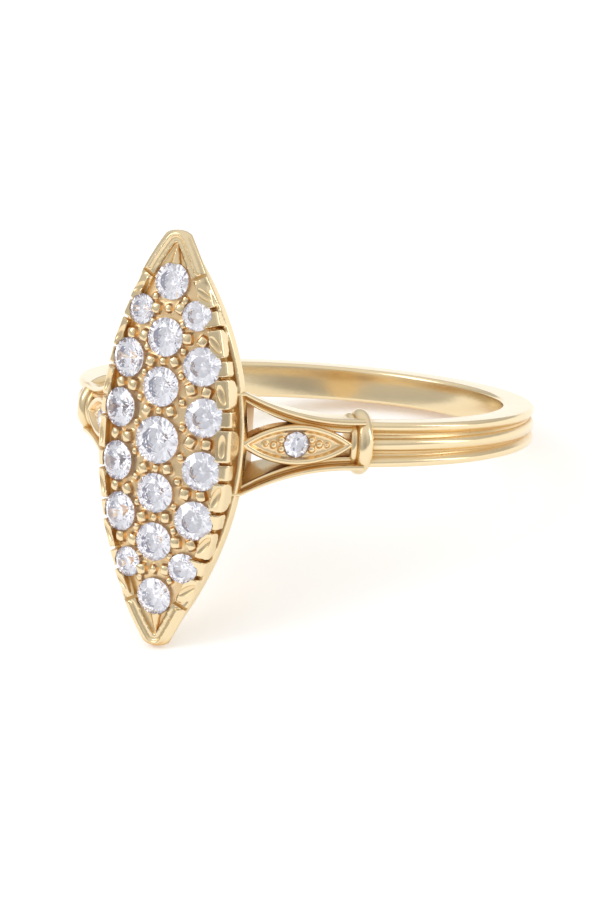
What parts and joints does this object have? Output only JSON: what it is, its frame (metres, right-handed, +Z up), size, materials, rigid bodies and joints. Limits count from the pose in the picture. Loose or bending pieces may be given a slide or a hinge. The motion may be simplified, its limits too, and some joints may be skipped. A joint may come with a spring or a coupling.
{
  "type": "navette cluster ring",
  "caption": "Gold ring with a long domed pointed-oval head of pave-set round brilliants, split shoulders that each frame a leaf with one small stone, collars and a reeded shank",
  "frame": {"origin": "centre of the bounding box's base, on the surface that the ring lies on", "axes": "+X towards the head, +Z up from the surface; the ring lies on its side and its finger hole leans 21.06 degrees from +Z towards -X"},
  "size_m": [0.0246, 0.02, 0.0173],
  "materials": {
    "gold": "polished",
    "diamond": "faceted and polished"
  },
  "bodies": {
    "root": {"mount": "gold", "centre_stone_1": "diamond", "centre_stone_2": "diamond", "centre_stone_3": "diamond", "centre_stone_4": "diamond", "centre_stone_5": "diamond", "centre_stone_6": "diamond", "centre_stone_7": "diamond", "left_stone_1": "diamond", "left_stone_2": "diamond", "left_stone_3": "diamond", "left_stone_4": "diamond", "left_stone_5": "diamond", "left_stone_6": "diamond", "right_stone_1": "diamond", "right_stone_2": "diamond", "right_stone_3": "diamond", "right_stone_4": "diamond", "right_stone_5": "diamond", "right_stone_6": "diamond", "shoulder_stone_left": "diamond", "shoulder_stone_right": "diamond"}
  },
  "joints": []
}
